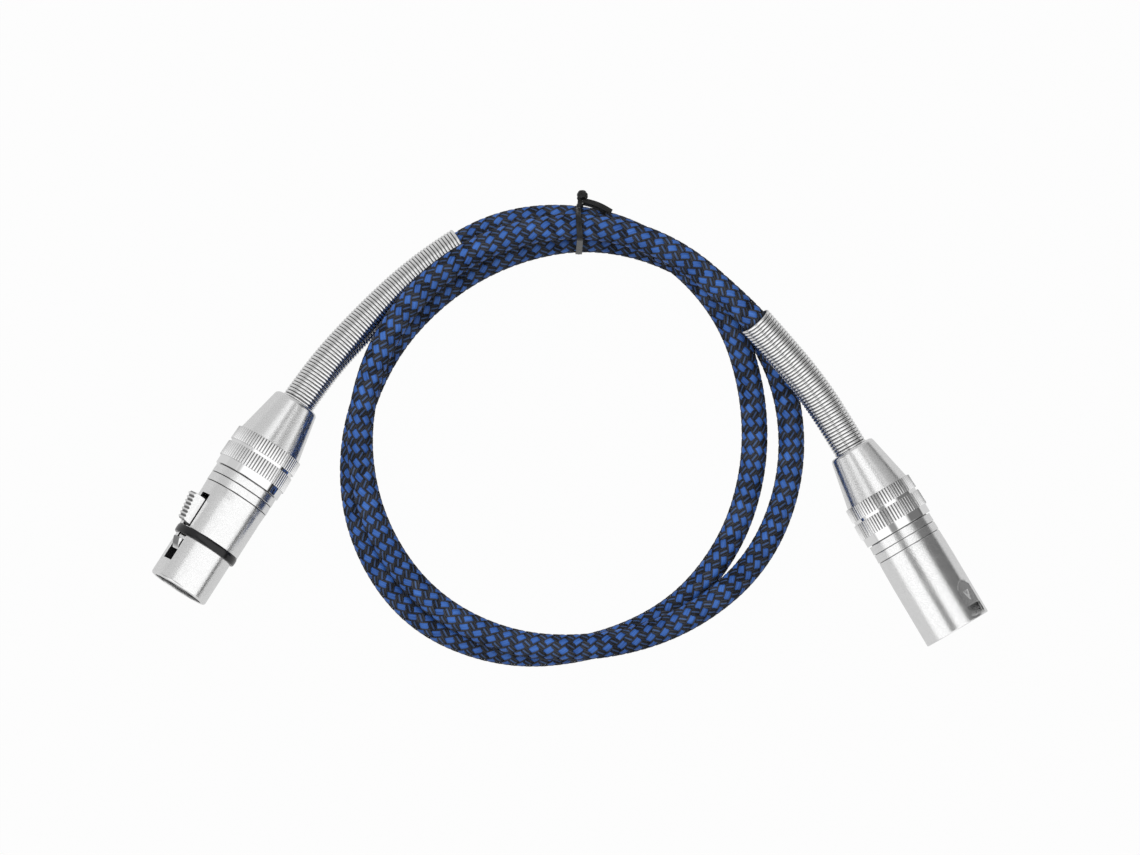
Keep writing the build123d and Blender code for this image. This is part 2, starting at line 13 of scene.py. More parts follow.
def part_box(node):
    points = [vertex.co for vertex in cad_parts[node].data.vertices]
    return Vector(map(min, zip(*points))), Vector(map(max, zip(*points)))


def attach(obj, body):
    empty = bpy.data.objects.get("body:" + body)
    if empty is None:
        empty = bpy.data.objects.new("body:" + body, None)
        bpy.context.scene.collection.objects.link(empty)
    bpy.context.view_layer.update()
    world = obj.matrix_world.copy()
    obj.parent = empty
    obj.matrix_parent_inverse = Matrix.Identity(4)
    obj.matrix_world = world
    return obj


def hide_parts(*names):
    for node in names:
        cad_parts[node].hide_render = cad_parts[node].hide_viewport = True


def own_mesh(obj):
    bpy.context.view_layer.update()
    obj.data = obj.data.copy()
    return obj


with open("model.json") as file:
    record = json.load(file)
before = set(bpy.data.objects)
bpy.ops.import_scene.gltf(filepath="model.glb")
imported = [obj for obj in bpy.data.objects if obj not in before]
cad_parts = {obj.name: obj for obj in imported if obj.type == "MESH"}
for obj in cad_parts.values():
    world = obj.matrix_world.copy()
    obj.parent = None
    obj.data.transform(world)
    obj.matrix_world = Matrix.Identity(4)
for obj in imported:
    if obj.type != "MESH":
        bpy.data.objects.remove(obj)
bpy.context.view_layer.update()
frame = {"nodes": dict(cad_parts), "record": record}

mm = 0.001
scene = bpy.context.scene

# ==== sizes
jacket_radius = 2.72 * mm

braid_radius = 2.9 * mm  # where the yarns cross
yarns_each_way = 8
cell_length = 3.65 * mm  # along the cable, from one float to the next
yarn_wave = 0.26 * mm

spring_radius = 4.4 * mm
spring_wire = 0.85 * mm
spring_pitch = 0.88 * mm
spring_seat = 3.86 * mm  # from the bushing's rear edge forward to the spring's first turn

female_length = 56.2 * mm
male_length = 53.0 * mm

# Stations on a bushing, in millimetres: its polished band, its polished rim and its front.
band_start, band_end, rim_start, bushing_length = 16.4, 17.5, 21.3, 23.7


# ==== node trees
class Socket:
    """An output of a node, with the arithmetic that the trees use."""

    def __init__(self, nodes, socket):
        self.nodes = nodes
        self.socket = socket

    def out(self, name):
        """Another output of the same node."""
        return Socket(self.nodes, self.socket.node.outputs[name])

    def __rsub__(self, other):
        return self.nodes.math("SUBTRACT", other, self)


def operator(name):
    return lambda first, second: first.nodes.math(name, first, second)


Socket.__add__ = Socket.__radd__ = operator("ADD")
Socket.__sub__ = operator("SUBTRACT")
Socket.__mul__ = Socket.__rmul__ = operator("MULTIPLY")
Socket.__truediv__ = operator("DIVIDE")
Socket.__pow__ = operator("POWER")


class Nodes:
    """Adds nodes to a tree."""

    def __init__(self, tree):
        self.tree = tree

    def add(self, kind, values=None, **settings):
        """A node with its settings and inputs; gives its first output."""
        node = self.tree.nodes.new(kind)
        for name, value in settings.items():
            setattr(node, name, value)
        self.feed(node, values or {})
        return Socket(self, node.outputs[0])

    def feed(self, node, values):
        """Links or sets these inputs of a node."""
        for name, value in values.items():
            if isinstance(value, Socket):
                self.tree.links.new(value.socket, node.inputs[name])
            else:
                node.inputs[name].default_value = value

    def math(self, operation, first, second=0.0):
        """Adds a Math node, or a Vector Math node where a vector takes part."""
        pair = [first, second]
        vectors = [isinstance(v, Socket) and v.socket.type == "VECTOR" for v in pair]
        if operation == "MULTIPLY" and any(vectors) and not all(vectors):
            vector, factor = pair if vectors[0] else pair[::-1]
            return self.add("ShaderNodeVectorMath", {0: vector, "Scale": factor}, operation="SCALE")
        kind = "ShaderNodeVectorMath" if any(vectors) else "ShaderNodeMath"
        return self.add(kind, {0: first, 1: second}, operation=operation)

    def split(self, vector):
        parts = self.add("ShaderNodeSeparateXYZ", {0: vector})
        return parts, parts.out(1), parts.out(2)

    def join(self, x=0.0, y=0.0, z=0.0):
        return self.add("ShaderNodeCombineXYZ", {0: x, 1: y, 2: z})

    def ramp(self, value, low, high):
        """0 below low, 1 above high, and a smooth rise between."""
        values = {"Value": value, "From Min": low, "From Max": high}
        return self.add("ShaderNodeMapRange", values, interpolation_type="SMOOTHSTEP")

    def toward(self, x, y, heading):
        """How far a place lies toward a heading in degrees."""
        turn = radians(heading)
        return x * cos(turn) + y * sin(turn)

    def read(self, name):
        """A number that is stored on the mesh."""
        return self.add("ShaderNodeAttribute", attribute_name=name).out("Fac")

    def place(self):
        return self.add("ShaderNodeTexCoord").out("Object")

    def rays(self, *kinds):
        """Which kinds of ray see the surface."""
        path = self.add("ShaderNodeLightPath")
        return [path.out(f"Is {kind} Ray") for kind in kinds]

    def noise(self, place, scale, detail):
        return self.add("ShaderNodeTexNoise", {"Vector": place, "Scale": scale, "Detail": detail})

    def bump(self, strength, distance, height):
        values = {"Strength": strength, "Distance": distance, "Height": height}
        return self.add("ShaderNodeBump", values)

    def grey(self, value):
        return self.add("ShaderNodeCombineColor", {0: value, 1: value, 2: value})

    def blend(self, factor, first, second):
        """A colour between two others, each given as red, green and blue."""
        values = {0: factor, 6: (*first, 1.0), 7: (*second, 1.0)}
        return self.add("ShaderNodeMix", values, data_type="RGBA").out(2)


class GeometryTree(Nodes):
    """A geometry tree with named inputs, a material among them, and one geometry output."""

    def __init__(self, name, counts, sizes, objects=()):
        super().__init__(bpy.data.node_groups.new(name, "GeometryNodeTree"))
        face = self.tree.interface
        face.new_socket("Geometry", in_out="OUTPUT", socket_type="NodeSocketGeometry")
        inputs = {"Object": objects, "Int": counts, "Float": sizes, "Material": ["Material"]}
        for kind, labels in inputs.items():
            for label in labels:
                face.new_socket(label, in_out="INPUT", socket_type="NodeSocket" + kind)
        self.entry = self.tree.nodes.new("NodeGroupInput")

    def __getitem__(self, label):
        """One of the tree's inputs."""
        return Socket(self, self.entry.outputs[label])

    def position(self):
        return self.add("GeometryNodeInputPosition")

    def move(self, geometry, place):
        return self.add("GeometryNodeSetPosition", {"Geometry": geometry, "Position": place})

    def keep(self, geometry, name, value, domain="POINT"):
        """Stores a number on each point or instance, for the material."""
        values = {"Geometry": geometry, "Name": name, "Value": value}
        return self.add("GeometryNodeStoreNamedAttribute", values, data_type="FLOAT", domain=domain)

    def grid(self, length, width, along, across):
        """A flat grid of this size, with this many points each way."""
        values = {"Size X": length, "Size Y": width, "Vertices X": along, "Vertices Y": across}
        return self.add("GeometryNodeMeshGrid", values)

    def copies(self, points, piece, **placing):
        values = {"Points": points, "Instance": piece, **placing}
        return self.add("GeometryNodeInstanceOnPoints", values)

    def real(self, geometry):
        return self.add("GeometryNodeRealizeInstances", {"Geometry": geometry})

    def bend(self, geometry):
        """Lays a straight drawing along the cable: X is the length along it, Y the turn
        round it and Z the distance from its middle."""
        along, turn, reach = self.split(self.position())
        route = self.add("GeometryNodeObjectInfo", {"Object": self["Route"]})
        values = {"Curves": route.out("Geometry"), "Length": along}
        line = self.add("GeometryNodeSampleCurve", values, mode="LENGTH")
        tangent, normal = line.out("Tangent"), line.out("Normal")
        across = self.math("CROSS_PRODUCT", tangent, normal)
        up = reach * self.math("COSINE", turn)
        side = reach * self.math("SINE", turn)
        return self.move(geometry, line.out("Position") + normal * up + across * side)

    def end(self, geometry):
        smooth = self.add("GeometryNodeSetShadeSmooth", {"Geometry": self.real(geometry)})
        values = {"Geometry": smooth, "Material": self["Material"]}
        coated = self.add("GeometryNodeSetMaterial", values)
        self.feed(self.tree.nodes.new("NodeGroupOutput"), {0: coated})
        return self.tree


def linked(name, data):
    """A new object in the scene."""
    piece = bpy.data.objects.new(name, data)
    scene.collection.objects.link(piece)
    return piece


def settled(piece):
    """A plain mesh of a curve, or of a piece with its modifier applied."""
    graph = bpy.context.evaluated_depsgraph_get()
    shown = piece.evaluated_get(graph)
    settings = {"preserve_all_data_layers": True, "depsgraph": graph}
    return bpy.data.meshes.new_from_object(shown, **settings)


def harden(piece):
    """Applies the piece's modifier."""
    mesh = settled(piece)
    piece.modifiers.clear()
    piece.data = mesh


def grow(name, tree, values):
    """Runs a geometry tree with these inputs and keeps the result as a plain mesh."""
    piece = linked(name, bpy.data.meshes.new(name))
    modifier = piece.modifiers.new("shape", "NODES")
    modifier.node_group = tree
    for item in tree.interface.items_tree:
        if item.name in values:
            modifier[item.identifier] = values[item.name]
    harden(piece)
    return piece


def register(piece, body, slot, *nodes):
    """The body that a piece moves with, its material slot, which is not used, and the nodes it stands
    for.
    """
    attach(piece, body)
    if nodes:
        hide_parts(*nodes)


# ==== where things lie
mounts = {mount["name"]: mount for mount in frame["record"]["mounts"]}


class Connector:
    """A connector's own axes, read from its mounts: a station is the distance along the axis
    from the rear edge of its bushing, and up points at its latch."""

    def __init__(self, front, length, right_contact, left_contact):
        self.axis = Vector(mounts[front]["axis"]).normalized()
        right, left = (Vector(mounts[m]["pos_m"]) for m in (right_contact, left_contact))
        across = right - left
        self.side = (across - self.axis * across.dot(self.axis)).normalized()
        self.up = self.axis.cross(self.side)
        self.rear = Vector(mounts[front]["pos_m"]) - self.axis * length

    def at(self, station, up=0.0):
        return self.rear + self.axis * station + self.up * up

    def frame(self):
        """Turns a local drawing, X to the side, Y up and Z along the axis, into its place."""
        turn = Matrix((self.side, self.up, self.axis)).transposed()
        return Matrix.Translation(self.rear) @ turn.to_4x4()


female = Connector("female_nose", female_length, "female_socket_1", "female_socket_2")
male = Connector("male_barrel", male_length, "male_pin_2", "male_pin_1")

# The cable's route, as the frame has it, from inside one connector to inside the other.
coil_middle = (0.6 * mm, -4.7 * mm)
coil_first_angle = 109.0
stations_per_turn = 15
coil_stations = [
    (57.5, 6.3), (55.5, 9.2), (52.5, 10.7), (50.0, 8.8), (47.5, 4.7),
    (47.5, 3.3), (49.5, 3.5), (52.5, 3.3), (55.0, 3.3), (59.5, 3.3),
    (62.5, 3.3), (60.5, 3.3), (56.5, 3.3), (52.5, 3.6), (50.0, 3.4),
    (49.5, 4.0), (51.0, 4.0), (52.5, 3.4), (54.5, 3.3), (56.5, 3.3),
    (57.5, 3.4), (58.0, 5.0), (56.5, 8.8), (55.5, 10.1), (56.5, 9.4),
    (57.0, 7.6), (56.0, 8.5), (55.0, 10.1), (54.0, 11.5), (53.5, 13.0),
    (53.0, 13.5), (53.0, 15.7), (53.0, 17.7), (53.0, 17.6),
]
coil_route = []
for step, (reach, height) in enumerate(coil_stations):
    angle = radians(coil_first_angle - 360 / stations_per_turn * step)
    out = Vector((cos(angle), sin(angle), 0)) * reach * mm
    coil_route.append(Vector((*coil_middle, height * mm)) + out)

axis_run = 14.0 * mm
exit_run = 6.0 * mm
female_run = [female.at(axis_run), female.at(-exit_run)]
female_run += [Vector((-52.5, 23.5, 6.7)) * mm, Vector((-37.5, 37.5, 6.1)) * mm]
male_run = [Vector((51.0, 18.8, 14.4)) * mm, Vector((61.0, 7.3, 11.7)) * mm]
male_run += [male.at(-exit_run), male.at(axis_run)]
route_points = female_run + coil_route + male_run


def smooth_line(name, points, thickness=0.0):
    """A smooth curve with these control points, round and solid if it has a thickness."""
    curve = bpy.data.curves.new(name, "CURVE")
    curve.dimensions = "3D"
    curve.resolution_u = 24
    curve.bevel_depth = thickness
    curve.bevel_resolution = 5
    curve.use_fill_caps = thickness > 0
    line = curve.splines.new("NURBS")
    line.points.add(len(points) - 1)
    for place, point in zip(line.points, points):
        place.co = (*point, 1.0)
    line.order_u = 3
    line.use_endpoint_u = True
    return linked(name, curve)


route = smooth_line("route", route_points)
route_mesh = settled(route)
route_line = [vertex.co.copy() for vertex in route_mesh.vertices]
bpy.data.meshes.remove(route_mesh)


def length_to(point):
    """How far along the cable this point lies."""
    nearest = min(range(len(route_line)), key=lambda i: (route_line[i] - point).length)
    pairs = zip(route_line[:nearest], route_line[1 : nearest + 1])
    return sum((after - before).length for before, after in pairs)


cable_length = length_to(route_line[-1])
left_spring_end = length_to((female_run[-1] + coil_route[0]) / 2)
right_spring_end = length_to((coil_route[-1] + male_run[0]) / 2)


# ==== materials
class Coat(Nodes):
    """A new material, with the nodes that feed its shader."""

    def __init__(self, name, gloss=0.5, metallic=0.0):
        self.material = bpy.data.materials.new(name)
        self.material.use_nodes = True
        super().__init__(self.material.node_tree)
        self.shader = self.tree.nodes["Principled BSDF"]
        self.feed(self.shader, {"Specular IOR Level": gloss, "Metallic": metallic})

    def end(self, colour, roughness, **others):
        self.feed(self.shader, {"Base Color": colour, "Roughness": roughness, **others})
        return self.material


def yarn(name, deep, bright, satin, twist, gloss):
    """Braided yarn: filaments along it, or across it where it is twisted, each float a little
    different, and painted shade that darkens each float towards its two edges."""
    coat = Coat(name, gloss)
    along, across, chance = (coat.read(label) for label in ("along", "across", "chance"))
    lines_across, lines_along, lines_by_float = 9.0, 260.0, 40.0
    slant = (across + along * twist) * lines_across
    lines = coat.join(slant, along * lines_along, chance * lines_by_float)
    filaments = coat.noise(lines, 1.0, 2.0)
    strokes = coat.ramp(filaments, 0.34, 0.66)
    # light mixes each float's random tone and filaments with painted shade that darkens the float
    # towards its edges
    edge = coat.math("ABSOLUTE", across) * 2.0
    light = (0.5 * chance + 0.5 * strokes) * (1 - 0.5 * edge**4)
    normal = coat.bump(0.5, 0.08 * mm, filaments)
    return coat.end(coat.blend(light, deep, bright), satin + 0.15 * (1 - strokes), Normal=normal)


def spring_steel():
    """Bright plated wire, with painted shade where one turn meets the next."""
    coat = Coat("spring_steel", metallic=1.0)
    smears = coat.noise(coat.place(), 900.0, 3.0)
    colour = coat.grey(0.9 * (1 - 0.95 * coat.read("hollow")))
    return coat.end(colour, 0.08 + 0.14 * smears)


def plated(name, tone, satin, mirrors=()):
    """Silver plating: fine cast grain, painted shade in its recesses, and a mirror between some
    stations.
    """
    coat = Coat(name, metallic=1.0)
    station, hollow, place = coat.read("station"), coat.read("hollow"), coat.place()
    grain, patches = coat.noise(place, 3800.0, 2.0), coat.noise(place, 420.0, 1.0)
    cast = 1.0
    for start, end in mirrors:
        above = coat.math("GREATER_THAN", station, start)
        cast = cast - above * coat.math("LESS_THAN", station, end)
    speck = coat.ramp(grain, 0.38, 0.62)
    # the stored value paints shade into the colour: grooves, gaps, rib valleys and the shell's inside
    colour = coat.grey(tone * (1 - 0.13 * (1 - speck) * cast) * (1 - 0.85 * hollow))
    rough = satin * (0.7 + 0.6 * patches) * cast + 0.05 * (1 - cast)
    return coat.end(colour, rough, Normal=coat.bump(0.24 * cast, 0.1 * mm, grain))


def strip_plastic():
    """Black plastic with fine lengthwise ribs."""
    coat = Coat("strip_plastic", 0.35)
    worn = coat.noise(coat.place(), 700.0, 3.0)
    ribs = coat.math("SINE", coat.read("across") * 62.0)
    colour = coat.grey(0.006 + 0.012 * coat.ramp(worn, 0.35, 0.75))
    return coat.end(colour, 0.2 + 0.16 * worn, Normal=coat.bump(0.35, 0.06 * mm, ribs + worn))


def plain(name, colour, satin, gloss=0.35):
    """Moulded plastic or rubber, its shine a little uneven."""
    coat = Coat(name, gloss)
    worn = coat.noise(coat.place(), 500.0, 3.0)
    lighter = [1.5 * value for value in colour]
    return coat.end(coat.blend(coat.ramp(worn, 0.4, 0.8), colour, lighter), satin + 0.2 * (worn - 0.5))


polished = ((band_start, band_end), (rim_start, bushing_length + 0.1))
blue = yarn("blue_yarn", (0.014, 0.062, 0.25), (0.062, 0.19, 0.6), 0.38, 0.0, 0.3)
dull_blue = yarn("dull_blue_yarn", (0.012, 0.034, 0.11), (0.075, 0.16, 0.38), 0.45, 0.0, 0.25)
# the black yarn's lighter strokes are partly the threads' own uneven tone and partly painted glints on
# the twisted threads
black = yarn("black_yarn", (0.002, 0.0024, 0.0036), (0.075, 0.08, 0.098), 0.42, 2200.0, 0.08)
core_black = plain("jacket_black", (0.004, 0.004, 0.006), 0.6, 0.05)
spring_metal = spring_steel()
shell_metal = plated("shell_plating", 0.94, 0.2)
bushing_metal = plated("bushing_plating", 0.94, 0.2, polished)
lever_metal = plated("lever_plating", 0.94, 0.12)
rubber = plain("o_ring_rubber", (0.005, 0.005, 0.006), 0.2, 0.45)
tie_plastic = strip_plastic()
moulding = plain("black_moulding", (0.02, 0.02, 0.022), 0.4)
natural = plain("natural_moulding", (0.55, 0.55, 0.52), 0.4)
insulation = plain("core_insulation", (0.3, 0.3, 0.32), 0.4)
contact_metal = plated("contact_plating", 0.75, 0.2)


# ==== cable
cell_girth = 2 * pi * braid_radius / yarns_each_way
yarn_lean = atan2(cell_girth, cell_length)
crossing_run = hypot(cell_length, cell_girth) / 2  # along a yarn, between crossings
pad_run, pad_points = 1.5, 8  # a float's length in crossing runs, and its points along it
wave_swing = 1.7  # cut off at 1, which keeps each float level between its dives
wire_sides, steps_per_turn = 12, 28


def braid_tree():
    """The floats of one family of yarns, each a short crowned pad that dives under the
    crossing yarns at both ends."""
    counts = ["Cells Along", "Cells Around", "Strands", "Strand Faces"]
    sizes = ["Start", "Cell Length", "Radius", "Shift", "Lean", "Crossing Run", "Strand Spacing"]
    sizes += ["Strand Width", "Crown", "Flatness", "Wave"]
    tree = GeometryTree("yarn_floats", counts, sizes, ["Route"])
    run, width = tree["Crossing Run"], tree["Strand Width"]
    pad = tree.grid(run * pad_run, width, pad_points, tree["Strand Faces"] + 1)
    along, across, _ = tree.split(tree.position())
    edge = tree.math("ABSOLUTE", across * 2.0 / width)
    crown = tree["Crown"] * (1 - edge ** tree["Flatness"])
    swing = wave_swing * tree.math("COSINE", along / run * pi)
    wave = tree["Wave"] * tree.math("MAXIMUM", tree.math("MINIMUM", swing, 1.0), -1.0)
    pad = tree.keep(pad, "along", along)
    pad = tree.keep(pad, "across", across / width)
    pad = tree.move(pad, tree.join(along, across, crown + wave))
    spacing, strands = tree["Strand Spacing"], tree["Strands"]
    rank = {
        "Count": strands,
        "Start Location": tree.join(y=spacing * (strands - 1) / -2.0),
        "Offset": tree.join(y=spacing),
    }
    bundle = tree.real(tree.copies(tree.add("GeometryNodeMeshLine", rank), pad))
    cells_along, cells_around = tree["Cells Along"], tree["Cells Around"]
    length, radius, shift = tree["Cell Length"], tree["Radius"], tree["Shift"]
    girth = radius * (2 * pi) / cells_around
    whole_length, whole_girth = length * (cells_along - 1), girth * (cells_around - 1)
    cells = tree.grid(whole_length, whole_girth, cells_along, cells_around)
    middle = tree["Start"] + whole_length / 2.0
    centred = tree.position() + tree.join(middle + length * shift, girth * shift, radius)
    lean = tree.join(z=tree["Lean"])
    floats = tree.copies(tree.move(cells, centred), bundle, Rotation=lean)
    chance = tree.add("FunctionNodeRandomValue", {"Seed": 7}, data_type="FLOAT").out(1)
    floats = tree.real(tree.keep(floats, "chance", chance, "INSTANCE"))
    x, y, z = tree.split(tree.position())
    return tree.end(tree.bend(tree.move(floats, tree.join(x, y / radius, z))))


def sleeve():
    """The braided sleeve over the cable, between the two springs."""
    tree = braid_tree()
    tucked = 2 * cell_length
    start = left_spring_end - tucked
    shared = {
        "Route": route,
        "Start": start,
        "Cells Along": round((right_spring_end + tucked - start) / cell_length),
        "Cells Around": yarns_each_way,
        "Cell Length": cell_length,
        "Radius": braid_radius,
        "Crossing Run": crossing_run,
        "Wave": yarn_wave,
    }
    labels = ["Shift", "Lean", "Strands", "Strand Spacing", "Strand Width", "Strand Faces"]
    labels += ["Crown", "Flatness", "Material"]
    families = {
        "sleeve_blue_floats": (0.0, -yarn_lean, 1, 0.0, 1.42 * mm, 4, 0.1 * mm, 4.0, blue),
        "sleeve_black_edges": (0.0, -yarn_lean, 2, 1.73 * mm, 0.37 * mm, 2, 0.16 * mm, 2.0, black),
        "sleeve_blue_tracers": (0.5, yarn_lean, 1, 0.0, 0.64 * mm, 2, 0.14 * mm, 2.0, dull_blue),
        "sleeve_black_yarns": (0.5, yarn_lean, 4, 0.5 * mm, 0.43 * mm, 2, 0.16 * mm, 2.0, black),
    }
    return [grow(name, tree, shared | dict(zip(labels, row))) for name, row in families.items()]


def spring_tree():
    """Close-wound wire along a stretch of the cable."""
    sizes = ["Start", "End", "Turns", "Radius", "Wire"]
    tree = GeometryTree("wound_wire", ["Steps"], sizes, ["Route"])
    start, end = tree["Start"], tree["End"]
    radius, wire = tree["Radius"], tree["Wire"]
    line = tree.add("GeometryNodeCurvePrimitiveLine", {"End": (1.0, 0.0, 0.0)}, mode="POINTS")
    line = tree.add("GeometryNodeResampleCurve", {"Curve": line, "Count": tree["Steps"]})
    share, _, _ = tree.split(tree.position())
    girth = share * tree["Turns"] * radius * (2 * pi)
    line = tree.move(line, tree.join(start + share * (end - start), girth, radius))
    values = {"Resolution": wire_sides, "Radius": wire / 2.0}
    section = tree.add("GeometryNodeCurvePrimitiveCircle", values, mode="RADIUS")
    values = {"Curve": line, "Profile Curve": section, "Fill Caps": True}
    coil = tree.add("GeometryNodeCurveToMesh", values)
    along, across, reach = tree.split(tree.position())
    # painted shade: the wire darkens from its outer crest inwards, between the turns and on the side
    # towards the cable
    coil = tree.keep(coil, "hollow", tree.ramp((radius - reach) / wire, -0.42, -0.02))
    coil = tree.move(coil, tree.join(along, across / radius, reach))
    return tree.end(tree.bend(coil))


def tail_springs():
    """Both springs, from inside the bushing outwards."""
    tree = spring_tree()
    shared = {
        "Route": route,
        "Radius": spring_radius - spring_wire / 2,
        "Wire": spring_wire,
        "Material": spring_metal,
    }
    stretches = {
        "female_tail_spring_wire": (axis_run - spring_seat, left_spring_end),
        "male_tail_spring_wire": (cable_length - axis_run + spring_seat, right_spring_end),
    }
    pieces = []
    for name, (start, end) in stretches.items():
        turns = abs(end - start) / spring_pitch
        stretch = {"Start": start, "End": end, "Turns": turns, "Steps": round(turns * steps_per_turn)}
        pieces.append(grow(name, tree, shared | stretch))
    return pieces


jacket = smooth_line("cable_jacket", route_points, jacket_radius)
jacket.data.materials.append(core_black)
braid = sleeve()
springs = tail_springs()
cable_nodes = ("cable_female_end", "cable_first_turn", "cable_second_turn", "cable_male_end")
register(jacket, "root", "braided_sleeve", *cable_nodes)
for piece in braid:
    register(piece, "root", "braided_sleeve")
for piece, side in zip(springs, ("female", "male")):
    register(piece, "root", "spring_metal", side + "_tail_spring")
bpy.data.objects.remove(route)

female.at(axis_run)

# ==== connectors
# Each connector is drawn in millimetres in its own axes: X to the side, Y up towards the
# latch, Z the station. An outline is a closed row of (radius, station) points, outside
# first and rear to front; a third number says how much painted shade darkens the point.
bevel_angle, sharp_angle = radians(50), radians(35)
flat_end_corners = 9  # a face with so many is a flat end
relief_shade, edge_width = 0.45, 0.22
long_run, hold = 0.6, 0.16  # how long a run is held straight, and how close to its ends


def set_down(piece, connector, body, slot, *nodes, bevel=0.0):
    """Rounds the sharp edges, smooths the rest, notes each point's station for the
    materials, lays the drawing in its place and registers it."""
    if bevel:
        modifier = piece.modifiers.new("edges", "BEVEL")
        modifier.width = bevel
        modifier.segments = 2
        modifier.limit_method = "ANGLE"
        modifier.angle_limit = bevel_angle
        harden(piece)
    piece.data.shade_smooth()
    piece.data.set_sharp_from_angle(angle=sharp_angle)
    for face in piece.data.polygons:
        face.use_smooth = len(face.vertices) < flat_end_corners
    stations = piece.data.attributes.new("station", "FLOAT", "POINT")
    stations.data.foreach_set("value", [vertex.co.z for vertex in piece.data.vertices])
    piece.data.transform(connector.frame() @ Matrix.Scale(mm, 4))
    register(piece, body, slot, *nodes)


def solid(name, points, faces, coat, values, label="hollow"):
    """A closed piece with its faces turned outwards, and a value stored on each point."""
    drawing = bmesh.new()
    layer = drawing.verts.layers.float.new(label)
    corners = [drawing.verts.new(point) for point in points]
    for corner, value in zip(corners, values):
        corner[layer] = value
    for face in faces:
        drawing.faces.new([corners[corner] for corner in face])
    bmesh.ops.recalc_face_normals(drawing, faces=drawing.faces)
    mesh = bpy.data.meshes.new(name)
    drawing.to_mesh(mesh)
    drawing.free()
    mesh.materials.append(coat)
    return linked(name, mesh)


def squares(rows, size, closed=False):
    """The square faces between rows of points, each row a ring of this size."""
    faces = []
    for row in range(rows if closed else rows - 1):
        here, there = row * size, (row + 1) % rows * size
        for place in range(size):
            after = (place + 1) % size
            faces.append([here + place, here + after, there + after, there + place])
    return faces


def column_turns(radius, lines, columns):
    """The angles of a ring's points: on the lines under the latch, and evenly round the rest."""
    if not lines:
        return [2 * pi * column / columns for column in range(columns)]
    turns = [asin(side / radius) for side in lines]
    rest = (2 * pi + turns[0] - turns[-1]) / columns
    return turns + [turns[-1] + rest * column for column in range(1, columns)]


def full(outline):
    """The outline with all three numbers at every point."""
    return [(*point, 0.0)[:3] for point in outline]


def turned(name, outline, coat, columns=96, lines=(), opening=None, relief=None):
    """A ring or shell turned from its closed half outline. The lines run along the axis at
    these distances to the side of the latch. The opening is (first line, last line, start
    station, end station), and the relief gives the extra radius at a side and station."""
    points, painted_shades = [], []
    for radius, station, hollow in full(outline):
        for turn in column_turns(radius, lines, columns):
            side = radius * sin(turn)
            facing = relief and cos(turn) > 0
            reach = radius + (relief(radius, side, station) if facing else 0.0)
            # painted shade on the recessed panel, added to the outline's own
            painted_shades.append(hollow + relief_shade * (reach < radius))
            points.append((reach * sin(turn), reach * cos(turn), station))
    size = len(points) // len(outline)

    def corner(row, column):
        return row % len(outline) * size + column % size

    first, last, start, end = opening or (0, 0, 0, 0)
    faces = []
    for row, (_, station, *_) in enumerate(outline):
        low, high = sorted((station, outline[(row + 1) % len(outline)][1]))
        for column in range(size):
            if not (first <= column < last and start <= low and high <= end):
                square = ((row, column), (row + 1, column), (row + 1, column + 1), (row, column + 1))
                faces.append([corner(*place) for place in square])
    if opening:
        inside = [row for row, point in enumerate(outline) if start <= point[1] <= end]
        outer = [row for row in inside if row - inside[0] == inside.index(row)]
        inner = inside[len(outer) :]
        for column in (first, last):
            faces.append([corner(row, column) for row in outer + inner])
        across = list(range(first, last + 1))
        for rows in ((outer[0], inner[-1]), (outer[-1], inner[0])):
            there = [corner(rows[0], column) for column in across]
            back = [corner(rows[1], column) for column in reversed(across)]
            faces.append(there + back)
    return solid(name, points, faces, coat, painted_shades)


def extruded(name, outline, half_width, coat):
    """A plate from its outline of (up, station) points, this far to both sides, with painted
    shade only away from them."""
    count, inner = len(outline), half_width - edge_width
    points, painted_shades = [], []
    for side in (-half_width, -inner, inner, half_width):
        for up, station, hollow in full(outline):
            points.append((side, up, station))
            painted_shades.append(hollow * (abs(side) < half_width))
    sides = [range(count), range(3 * count, 4 * count)]
    return solid(name, points, squares(4, count) + sides, coat, painted_shades)


def held(outline):
    """The outline with a point close to both ends of each long run, so that rounding an
    edge doesn't bend the shading of the run."""
    outline, longer = full(outline), []
    for point, after in zip(outline, outline[1:] + outline[:1]):
        longer.append(point)
        run = dist(point[:2], after[:2])
        if run > long_run:
            for share in (hold / run, 1 - hold / run):
                place = [a + (b - a) * share for a, b in zip(point[:2], after)]
                longer.append((*place, point[2] * (after[2] > 0)))
    return longer


def arc(middle, radius, start, end, steps):
    """Points of (radius, station) on an arc, its angles in degrees from straight outwards."""
    turns = [radians(start + (end - start) * step / steps) for step in range(steps + 1)]
    return [(middle[0] + radius * cos(t), middle[1] + radius * sin(t)) for t in turns]


